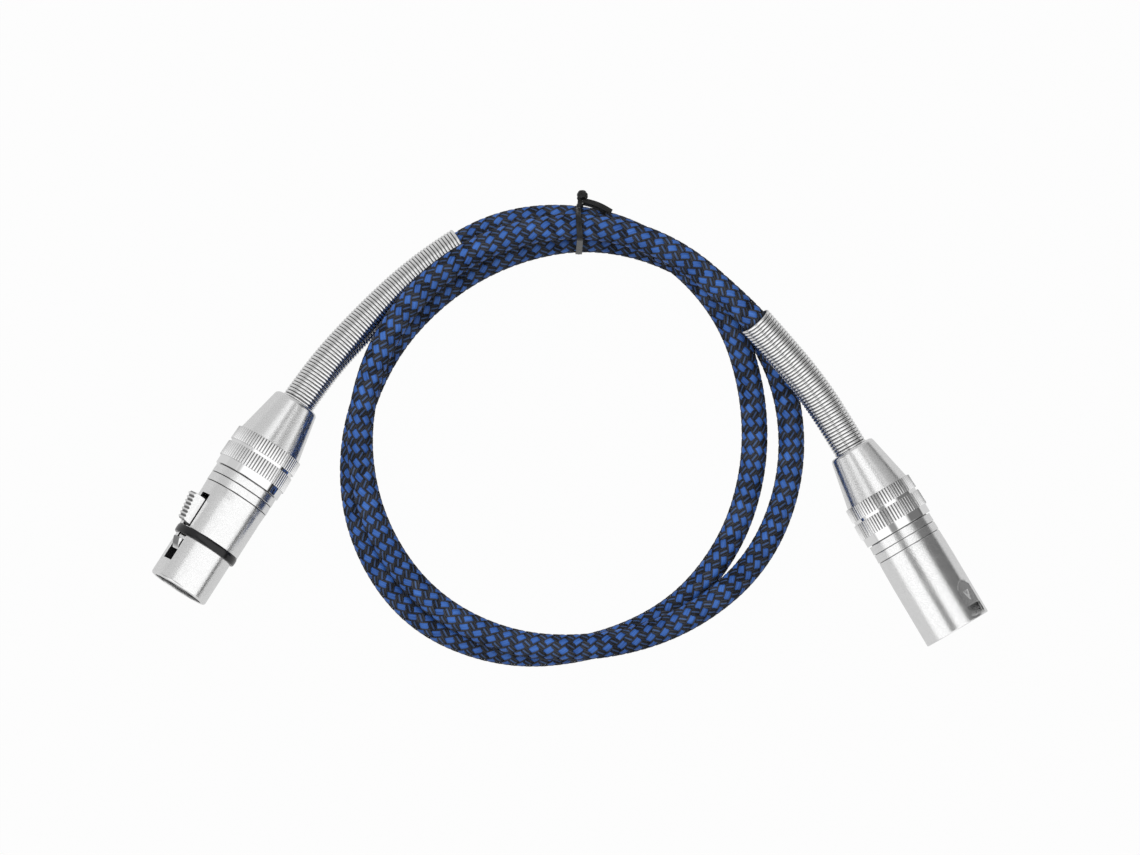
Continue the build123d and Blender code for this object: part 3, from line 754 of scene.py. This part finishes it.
def knurl_tree():
    """Straight ribs round a ring, along its axis."""
    sizes = ["Radius", "Height", "Crest", "Start", "Length", "Taper"]
    tree = GeometryTree("knurl", ["Ribs"], sizes)
    ribs, radius, length = tree["Ribs"], tree["Radius"], tree["Length"]
    height = tree["Height"]
    block = tree.join(height * 2.0, radius * (2 * pi) / ribs, length)
    values = {"Size": block, "Vertices X": 3, "Vertices Y": 3, "Vertices Z": 4}
    rib = tree.add("GeometryNodeMeshCube", values)
    x, y, z = tree.split(tree.position())
    rise = tree.math("MAXIMUM", x / height, 0.0)
    ends = tree.math("GREATER_THAN", tree.math("ABSOLUTE", z), length * 0.4)
    thin = 1 - rise * (1 - tree["Crest"])
    chamfered = z * (1 + 0.17 * ends * (1 - rise * 0.3))
    rib = tree.move(rib, tree.join(x + z * tree["Taper"], y * thin, chamfered))
    # painted shade: each rib dark from its foot to halfway up, fading to none at its crest, for the
    # valleys between ribs
    rib = tree.keep(rib, "hollow", 0.88 - 0.88 * rise)
    ring = tree.add("GeometryNodeMeshCircle", {"Vertices": ribs, "Radius": radius})
    lift = tree.join(z=tree["Start"] + length / 2.0)
    ring = tree.move(ring, tree.position() + lift)
    turn = tree.add("GeometryNodeInputIndex") * (2 * pi) / ribs
    return tree.end(tree.copies(ring, rib, Rotation=tree.join(z=turn)))


spring_hole, washer_seat = 4.9, 3.0
collet_seat, cone_front = 5.55, 13.0
bushing_outline = [
    *arc((5.1, 1.0), 1.0, -90, -12, 5), (8.6, cone_front), (8.92, cone_front),
    (9.0, band_start), (8.9, band_start), (8.9, band_end), (9.15, band_end),
    (9.2, rim_start), (9.15, rim_start), (9.15, bushing_length), (8.05, bushing_length),
    (8.05, 15.2), (collet_seat, cone_front), (collet_seat, washer_seat),
    (spring_hole, washer_seat), (spring_hole, 0.0),
]
washer_outline = [(5.45, 3.02), (5.45, 3.82), (4.75, 3.82), (4.75, 3.02)]
# Each knurled ring's start, length, radius and taper.
knurled_rings = {"rear": (13.12, 3.16, 8.99, 0.045), "front": (17.62, 3.56, 9.2, 0.03)}
knurl_shape = {"Ribs": 72, "Height": 0.27, "Crest": 0.5, "Material": bushing_metal}


def bushing(side, connector, knurl):
    """The tapered nut behind each connector, with its two knurled rings, and its slip washer."""
    name, body = side + "_bushing", side + "_bushing_body"
    nut = turned(name + "_cone", held(bushing_outline), bushing_metal)
    set_down(nut, connector, body, "bushing_metal", name, bevel=0.09)
    for place, (start, length, radius, taper) in knurled_rings.items():
        ring = {"Start": start, "Length": length, "Radius": radius, "Taper": taper}
        ribs = grow(f"{name}_{place}_knurl", knurl, knurl_shape | ring)
        set_down(ribs, connector, body, "bushing_metal")
    washer = turned(side + "_washer_turned", washer_outline, natural)
    set_down(washer, connector, side + "_washer", "collet_plastic", side + "_slip_washer")


# Both shells' threaded neck, two saw-tooth steps and taper to the barrel, with painted shade
# in the gap behind the bushing and in the groove after each step.
neck, neck_end, bore, groove = 8.0, 15.5, 7.2, 8.45
joint = bushing_length + 0.3  # the front of the gap between bushing and shell
shell_rear = [
    (neck, neck_end), (neck, bushing_length - 0.1), (neck, bushing_length, 1.0),
    (neck, joint, 1.0), (8.74, joint), (8.8, 26.2), (groove, 26.2, 1.0), (groove, 26.4, 1.0),
    (8.72, 26.4), (8.8, 28.6), (groove, 28.6, 1.0), (groove, 28.8, 1.0), (8.7, 28.8),
]
slot_start, slot_end, slot_half = 32.3, 51.4, 1.8
barrel, nose, nose_rear = 8.6, 7.95, 41.9
rim_inner, lip, rim = 6.75, 55.6, 56.2  # the rim's rounding lies between lip and rim


def female_shell():
    """The socket side's housing, with the latch's slot cut through it."""
    outline = [
        *shell_rear, (8.61, 31.0), (barrel, slot_start), (barrel, nose_rear), (nose, nose_rear),
        (nose, slot_end), *arc((7.35, lip), 0.6, 0, 80, 5), (rim_inner, rim), (rim_inner, lip),
        (bore, lip), (bore, slot_end), (bore, slot_start), (bore, neck_end),
    ]
    lines = [slot_half * step / 3 for step in range(-3, 4)]
    lines = [-slot_half - hold, *lines, slot_half + hold]
    opening = (1, 7, slot_start, slot_end)
    shell = turned("female_shell_turned", held(outline), shell_metal, 96, lines, opening)
    set_down(shell, female, "root", "shell_metal", "female_shell", bevel=0.09)


window_start, window_end, window_half = 49.4, 52.0, 2.8
panel_start, panel_height, panel_half = 42.7, 8.42, 2.68
arch_rise, arch_half = 3.2, 2.85


def inside_by(value, edge, softness=0.12):
    """1 well inside the edge, 0 outside, with a short ramp."""
    return max(0.0, min(1.0, (edge - value) / softness + 0.5))


def panel_relief(radius, side, station):
    """The flat arched panel behind the window, cut into the barrel."""
    if radius < 8.5 or not panel_start - 0.5 < station < window_end + 0.5:
        return 0.0
    arch = panel_start + arch_rise * (1 - sqrt(max(0.0, 1 - (side / arch_half) ** 2)))
    cut = inside_by(abs(side), panel_half) * inside_by(arch, station)
    cut *= inside_by(station, window_end + 0.3)
    return cut * (panel_height / sqrt(1 - (side / radius) ** 2) - radius)


def panel_mark():
    """The raised outline of a triangle on the panel."""
    section = [(0.0, -0.1), (0.0, 0.12), (0.07, 0.16), (0.25, 0.16), (0.32, 0.12), (0.32, -0.1)]
    points = []
    for margin, rise in section:
        half, rear, front = 1.0 - 1.6 * margin, 45.5 + margin, 48.1 - 2.4 * margin
        for side, station in ((-half, rear), (half, rear), (0.0, front)):
            points.append((side, panel_height + rise, station))
    faces = squares(len(section), 3, closed=True)
    mark = solid("male_panel_mark", points, faces, lever_metal, [0.0] * len(points))
    set_down(mark, male, "root", "shell_metal")


def male_shell():
    """The pin side's housing, with its panel and window."""
    fine, outside, inside, floor_station = 0.11, 8.87, 8.15, 37.5
    rows = [panel_start - 0.6 + fine * step for step in range(64)]
    outline = [
        *shell_rear, (8.79, 31.0), (outside, 36.0),
        *[(outside, station) for station in rows if station < window_start - 0.1],
        (outside, window_start), (outside, window_end), (outside, 52.35),
        *arc((8.62, 52.75), 0.25, 0, 90, 3), *arc((8.3, 52.85), 0.15, 90, 180, 2),
        # painted shade inside the shell, seen through the window, deepening towards the rear
        (inside, window_end, 0.3), (inside, window_start, 0.35), (inside, floor_station, 0.45),
        (bore, floor_station), (bore, neck_end),
    ]
    half = [fine * step for step in range(1, 25)] + [window_half, 3.0]
    lines = [-side for side in reversed(half)] + [0.0] + half
    window = (1, len(lines) - 2, window_start, window_end)
    shell = turned("male_shell_turned", held(outline), shell_metal, 88, lines, window, panel_relief)
    set_down(shell, male, "root", "shell_metal", "male_shell", bevel=0.07)


def o_ring():
    """The rubber ring between barrel and nose, a rounded oblong in section."""
    radius, station, half_height, half_width, squareness = 8.37, 43.02, 0.4, 1.08, 0.7
    profile = []
    for step in range(20):
        turn = radians(18 * step)
        out, on = (copysign(abs(v) ** squareness, v) for v in (cos(turn), sin(turn)))
        profile.append((radius + half_height * out, station + half_width * on))
    ring = turned("female_o_ring_moulded", profile, rubber)
    set_down(ring, female, "root", "o_ring_rubber", "female_o_ring")


def latch():
    """The thumb lever: seven rounded ridges on a falling pad, a thin arm and a hook."""
    start, length, ridges, steps = 33.8, 7.5, 7, 8
    pad_top, pad_fall, ridge_height = 11.85, 1.4, 0.5
    underside, arm_top, hook_rear = 6.45, 7.45, 45.3
    end, pitch = start + length, length / (ridges + 0.3)
    outline = [(underside, start), (11.7, start)]
    for step in range(steps * ridges + 1):
        wave = 0.5 - 0.5 * cos(2 * pi * step / steps)
        top = pad_top - pad_fall * step / (steps * ridges) + ridge_height * wave
        # painted shade in the valleys between the ridges
        outline.append((top, start + 0.2 + pitch * step / steps, 1 - min(1.0, 1.25 * wave)))
    outline += [
        (10.0, end - 0.1), (9.6, end), (7.8, end), (arm_top, end + 0.4), (arm_top, hook_rear),
        # painted shade on the hook's ramp, deepening towards its front
        (8.6, hook_rear, 0.6), (8.8, 45.45, 0.75), (8.8, 45.8, 0.8), (8.1, 47.2, 0.85),
        (7.25, 48.2), (underside, 48.3),
    ]
    lever = extruded("latch_lever_pressed", outline, 1.42, lever_metal)
    set_down(lever, female, "latch", "shell_metal", "latch_lever", bevel=0.08)


def leaf_spring():
    """The bent leaf under the latch's arm, drawn at rest."""
    low, high, thick = 4.92, 6.18, 0.25
    start, foot, tip, end = 38.5, 40.3, 43.7, 44.5
    under = [(low, start), (low, foot), (high, tip), (high, end)]
    over = [(high, end), (high, tip - thick), (low, foot - thick), (low, start)]
    outline = under + [(up + thick, station) for up, station in over]
    leaf = extruded("latch_leaf_bent", outline, 1.0, spring_metal)
    set_down(leaf, female, "root", "spring_metal", "latch_leaf_spring")
    foot_middle = female.at(foot * mm, up=low * mm)
    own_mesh(leaf)


def connectors():
    """Both connectors, and a finish for the parts shown as the frame has them."""
    knurl = knurl_tree()
    bushing("female", female, knurl)
    bushing("male", male, knurl)
    female_shell()
    male_shell()
    panel_mark()
    o_ring()
    latch()
    leaf_spring()
    contacts = [f"{kind}_{number}" for kind in ("female_socket", "male_pin") for number in (1, 2, 3)]
    coats = [
        (shell_metal, ["latch_pivot_pin"]),
        (moulding, ["female_insert", "male_insert"]),
        (natural, ["female_collet", "male_collet"]),
        (insulation, ["female_conductors", "male_conductors"]),
        (contact_metal, contacts),
    ]
    for coat, nodes in coats:
        for node in nodes:
            data = frame["nodes"][node].data
            data.materials.clear()
            data.materials.append(coat)


# ==== twist tie
tie_angle, tie_up = radians(88.0), Vector((0, 0, 1))
tie_side = Vector((cos(tie_angle), sin(tie_angle), 0))
tie_along = tie_up.cross(tie_side)
tie_width, tie_thickness = 1.45 * mm, 0.45 * mm
tie_reach = 3.62 * mm  # from a cable's middle to the band's middle
strip_section = [
    (-0.5, 0.0), (-0.47, 0.38), (-0.3, 0.34), (-0.16, 0.36), (-0.08, 0.5), (0.08, 0.5),
    (0.16, 0.36), (0.3, 0.34), (0.47, 0.38), (0.5, 0.0), (0.47, -0.4), (0.2, -0.46),
    (-0.2, -0.46), (-0.47, -0.4),
]


def tied_cables():
    """Where the cable passes the tie: distance from the coil's middle, and height."""
    found, middle = [], Vector((*coil_middle, 0))
    for before, after in zip(route_line, route_line[1:]):
        first, last = (before - middle).dot(tie_along), (after - middle).dot(tie_along)
        if first * last <= 0 and before.y > 0:
            place = before.lerp(after, first / (first - last))
            found.append(((place - middle).dot(tie_side), place.z))
    return found


def strip(name, rows, closed=False):
    """A flat plastic strip with a wire down its middle; each row is a point of its path, the
    way its face looks there, and its width."""
    points, across = [], []
    count, size = len(rows), len(strip_section)
    for place, (point, normal, width) in enumerate(rows):
        before = rows[place - 1][0] if place or closed else point
        after = rows[(place + 1) % count][0] if place < count - 1 or closed else point
        run = (after - before).normalized()
        side = run.cross(normal).normalized()
        rise = side.cross(run)
        for share, height in strip_section:
            points.append(point + side * share * width + rise * height * tie_thickness)
            across.append(share)
    faces = squares(count, size, closed)
    if not closed:
        faces += [range(size), range((count - 1) * size, count * size)]
    piece = solid(name, points, faces, tie_plastic, across, "across")
    piece.data.shade_smooth()
    piece.data.set_sharp_from_angle(angle=bevel_angle)
    return piece


def tie_point(reach, height):
    return Vector((*coil_middle, height)) + tie_side * reach


def tie_band():
    """The band round the three cables, a little slack and askew."""
    corners, link = 48, 0.45 * mm
    slack, slack_run = 0.5 * mm, 4.4 * mm
    outside = []
    for reach, height in tied_cables():
        for step in range(corners):
            turn = 2 * pi * step / corners
            outside.append((reach + tie_reach * cos(turn), height + tie_reach * sin(turn)))
    ring = [outside[index] for index in convex_hull_2d(outside)]
    path = []
    for (reach, height), after in zip(ring, ring[1:] + ring[:1]):
        steps = max(1, round(dist((reach, height), after) / link))
        for step in range(steps):
            share = step / steps
            path.append((reach + (after[0] - reach) * share, height + (after[1] - height) * share))
    reaches, heights = zip(*path)
    centre, lowest, highest = sum(reaches) / len(path), min(heights), max(heights)
    rows = []
    for place, (reach, height) in enumerate(path):
        before, after = path[place - 1], path[(place + 1) % len(path)]
        out = Vector((after[1] - before[1], before[0] - after[0])).normalized()
        share = (height - lowest) / (highest - lowest)
        askew = slack * sin((reach - centre) / slack_run) * share
        point = tie_point(reach, height) + tie_along * askew
        width = tie_width * (1.04 - 0.14 * (reach - centre) / (6 * mm))
        rows.append((point, tie_side * out.x + tie_up * out.y, width))
    return strip("twist_tie_band", rows, closed=True)


def tie_twist(root):
    """The two ends twisted round each other, outwards from the band."""
    pieces = []
    length, steps, turns = 3.4 * mm, 40, 0.7
    width, apart, sunk = 1.6 * mm, 0.42 * mm, 0.08
    for half in (0, 1):
        rows = []
        for step in range(steps + 1):
            share = step / steps
            turn = pi * half + 2 * pi * turns * share
            out = tie_up * cos(turn) + tie_along * sin(turn)
            point = root + tie_side * length * (share - sunk) + out * apart
            rows.append((point, out, width * (1 - 0.2 * share)))
        pieces.append(strip(f"twist_tie_twist_{half + 1}", rows))
    return pieces


def tie_knot(middle):
    """The crumpled end of the twist."""
    size, lean = Vector((1.35, 1.25, 1.25)) * mm, radians(-25)
    drawing = bmesh.new()
    bmesh.ops.create_icosphere(drawing, subdivisions=4, radius=1.0)
    layer = drawing.verts.layers.float.new("across")
    for corner in drawing.verts:
        x, y, z = corner.co
        fold = sin(4 * x + 3 * y + 5 * sin(2.3 * z)) * sin(5 * y - 2 * x)
        reach = 1 + 0.09 * fold + 0.05 * sin(11 * z + 7 * x)
        corner[layer] = 0.3 * x
        corner.co = corner.co * size * reach
    mesh = bpy.data.meshes.new("twist_tie_knot")
    drawing.to_mesh(mesh)
    drawing.free()
    mesh.transform(Matrix.Translation(middle) @ Matrix.Rotation(lean, 4, "Z"))
    mesh.materials.append(tie_plastic)
    mesh.shade_smooth()
    return linked("twist_tie_knot", mesh)


def tie_tails(start):
    """The two ends, bent over to the side."""
    # each end's first and last place from the knot, in millimetres, and its width
    legs = {
        "twist_tie_tail_upper": (Vector((0.2, 0.3, 0.3)), Vector((7.4, -2.6, 0.2)), 1.35 * mm),
        "twist_tie_tail_lower": (Vector((0.2, -0.4, -0.5)), Vector((5.9, -2.9, -0.9)), 1.0 * mm),
    }
    steps, arch = 24, Vector((0.1, 0.35, 0.7))
    pieces = []
    for name, (first, last, width) in legs.items():
        rows = []
        for step in range(steps + 1):
            share = step / steps
            place = first.lerp(last, share) + arch * sin(pi * share)
            rows.append((start + place * mm, Vector((0.1, 0.35 - 0.3 * share, 0.95)), width))
        pieces.append(strip(name, rows))
    return pieces


def twist_tie():
    """The whole tie, placed by the cables and its box."""
    _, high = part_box("twist_tie")
    reach, height = tied_cables()[0]
    root = tie_point(reach + 3.1 * mm, height + 4.0 * mm)
    knot = Vector((root.x + 0.6 * mm, high[1] - 1.95 * mm, root.z))
    tails = knot + Vector((0, -1.6, 0)) * mm
    band, *others = [tie_band(), *tie_twist(root), tie_knot(knot), *tie_tails(tails)]
    register(band, "root", "tie_plastic", "twist_tie")
    for piece in others:
        register(piece, "root", "tie_plastic")


connectors()
twist_tie()


# ==== floor, light and camera
# What the metal reflects: (heading, half spread, lowest, highest, softness, tone), in degrees.
cards = [
    (130, 52, -30, 46, 9, 0.62),
    (172, 17, -30, 38, 7, 0.36),
    (146, 14, 46, 60, 6, 0.4),
    (58, 14, 48, 64, 6, 0.3),
    (14, 15, 12, 46, 6, 0.6),
    (66, 20, -30, 42, 8, 0.56),
    (31, 18, -30, 50, 9, 0.18),
    (-20, 38, -30, 10, 5, 0.03),
    (-150, 60, -30, 8, 5, 0.62),
]
# The overhead one: heading, tilt from straight up, half width, half length, tone.
overhead_card = (208, 16, 12, 24, 0.3)
room_tone = 1.12
white = (1.0, 1.0, 1.0, 1.0)


def floor():
    """A white floor that metal sees as grey, darker beyond the coil."""
    size, matt_tone, own_light = 3.0, 0.25, 0.975
    near_tone, far_drop = 0.68, 0.54
    fade_heading, fade_start, fade_end = 31.0, 0.125, 0.165
    mesh = bpy.data.meshes.new("floor")
    corners = [(-size, -size, 0), (size, -size, 0), (size, size, 0), (-size, size, 0)]
    mesh.from_pydata(corners, [], [(0, 1, 2, 3)])
    coat = Coat("white_floor")
    matt = coat.add("ShaderNodeBsdfDiffuse", {"Color": (matt_tone, matt_tone, matt_tone, 1.0)})
    seen, glossy = coat.rays("Camera", "Glossy")
    x, y, _ = coat.split(coat.place())
    away = coat.ramp(coat.toward(x, y, fade_heading), fade_start, fade_end)
    strength = seen + (near_tone - far_drop * away) * glossy
    glow = coat.add("ShaderNodeEmission", {"Color": white, "Strength": strength})
    mixed = coat.add("ShaderNodeMixShader", {0: seen * own_light + glossy, 1: matt, 2: glow})
    coat.feed(coat.tree.nodes["Material Output"], {"Surface": mixed})
    coat.tree.nodes.remove(coat.shader)
    mesh.materials.append(coat.material)
    linked("floor", mesh)


def light():
    """A white room with dark cards that only gloss sees, and a soft lamp overhead."""
    world = bpy.data.worlds.new("studio")
    scene.world = world
    world.use_nodes = True
    nodes = Nodes(world.node_tree)
    x, y, z = nodes.split(nodes.add("ShaderNodeTexCoord"))

    def degrees(operation, value):
        return nodes.math(operation, value) * (180 / pi)

    def below(value, edge, soft):
        return 1 - nodes.ramp(value, edge - soft, edge + soft)

    height = degrees("ARCSINE", z)
    level = nodes.math("SQRT", 1.0001 - z * z)
    room = room_tone
    for heading, spread, low, high, soft, tone in cards:
        off = degrees("ARCCOSINE", nodes.toward(x, y, heading) / level)
        above = nodes.ramp(height, low - soft, low + soft)
        mask = below(off, spread, soft) * above * below(height, high, soft)
        room = room * (1 - mask) + tone * mask
    heading, tilt, half_width, half_length, tone = overhead_card
    side = (degrees("ARCSINE", nodes.toward(x, y, heading)) - tilt) / half_width
    run = degrees("ARCSINE", nodes.toward(x, y, heading + 90)) / half_length
    mask = nodes.ramp(side * side + run * run, 1.7, 0.3) * nodes.math("GREATER_THAN", z, 0.0)
    room = room * (1 - mask) + tone * mask
    glossy, direct, through = nodes.rays("Glossy", "Camera", "Transmission")
    seen = nodes.math("MAXIMUM", direct, through)
    soft = 0.2 + 0.8 * nodes.math("MAXIMUM", z, 0.0)
    strength = (soft * (1 - glossy) + room * glossy) * (1 - seen) + seen
    nodes.feed(world.node_tree.nodes["Background"], {"Color": white, "Strength": strength})
    lamp = bpy.data.lights.new("overhead", "AREA")
    lamp.size = 0.9
    lamp.energy = 7.0
    piece = linked("overhead", lamp)
    piece.location = (-0.7, 0.5, 1.1)
    piece.rotation_euler = (-piece.location).to_track_quat("-Z", "Y").to_euler()
    piece.visible_glossy = False


def camera():
    """Almost straight down, from a little to the south, with a long lens."""
    distance = 1.8
    width = 0.2901  # of the view, where the object lies
    target = Vector((0.08, -3.16, 5.0)) * mm
    height = radians(86)
    lens = bpy.data.cameras.new("camera")
    lens.sensor_width = 36
    lens.lens = lens.sensor_width * distance / width
    lens.clip_end = 10
    piece = linked("camera", lens)
    back = Vector((0, -cos(height), sin(height)))
    piece.location = target + back * distance
    piece.rotation_euler = (-back).to_track_quat("-Z", "Y").to_euler()
    scene.camera = piece


floor()
light()
camera()
scene.view_settings.view_transform = "Standard"
